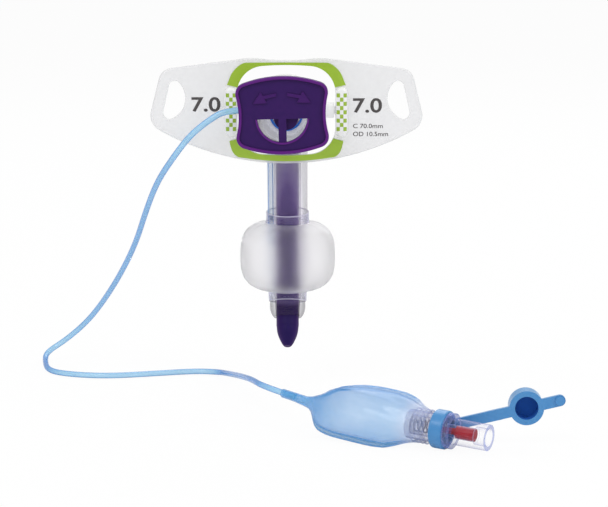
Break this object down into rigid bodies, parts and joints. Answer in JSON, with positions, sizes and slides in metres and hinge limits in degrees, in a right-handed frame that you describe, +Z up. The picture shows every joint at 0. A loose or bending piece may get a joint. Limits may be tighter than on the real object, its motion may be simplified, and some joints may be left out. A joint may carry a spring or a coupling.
{
  "type": "tracheostomy tube",
  "caption": "Cuffed fenestrated tracheostomy tube with winged neck flange, obturator, 15 mm connector and an inflation line with pilot balloon, check valve and tethered cap.",
  "frame": {"origin": "on the axis of the tube, in the plane of the flange's neck side", "axes": "+X towards the viewer's right in the picture, +Y into the patient along the tube's first run, +Z up"},
  "size_m": [0.1362, 0.111, 0.0908],
  "materials": {
    "clear_tube": "clear soft PVC, glossy",
    "cuff_film": "thin translucent film, satin",
    "white_hub": "milky white, satin",
    "frosted_flange": "frosted clear, satin",
    "green_band": "translucent green",
    "purple_obturator": "satin",
    "clear_valve": "clear, glossy",
    "red_plunger": "glossy",
    "valve_rubber": "matt",
    "spring_steel": "drawn wire",
    "balloon_film": "clear blue film, glossy",
    "blue_cap": "satin",
    "blue_line": "translucent light blue"
  },
  "bodies": {
    "tube": {"outer_cannula": "clear_tube", "connector_hub": "white_hub", "cuff": "cuff_film", "cuff_line": "blue_line", "inflation_line": "blue_line", "pilot_balloon": "balloon_film", "valve_housing": "clear_valve", "valve_spring": "spring_steel", "cap_tether": "blue_cap"},
    "flange": {"neck_flange": "frosted_flange", "upper_size_band": "green_band", "lower_size_band": "green_band"},
    "obturator": {"obturator": "purple_obturator"},
    "plunger": {"valve_plunger": "red_plunger", "valve_seal": "valve_rubber"},
    "cap": {"luer_cap": "blue_cap"}
  },
  "joints": [
    {"name": "flange_tilt", "type": "hinge", "parent": "tube", "child": "flange", "pos_m": [0, -0.0016, 0.00045], "axis": [1, 0, 0], "range_deg": [-15, 15]},
    {"name": "obturator_withdraw", "type": "hinge", "parent": "tube", "child": "obturator", "pos_m": [0, -0.003, -0.0425], "axis": [1, 0, 0], "range_deg": [0, 100]},
    {"name": "plunger_press", "type": "slide", "parent": "tube", "child": "plunger", "axis": [-0.8798, 0.4718, 0.0576], "range_m": [0, 0.0018], "stiffness_N_per_m": 55, "deforming": ["valve_spring"]},
    {"name": "cap_swing", "type": "hinge", "parent": "tube", "child": "cap", "pos_m": [0.04976, -0.02872, -0.06969], "axis": [0.2283, 0, -0.9736], "range_deg": [0, 80], "stiffness_Nm_per_rad": 0.0008}
  ]
}
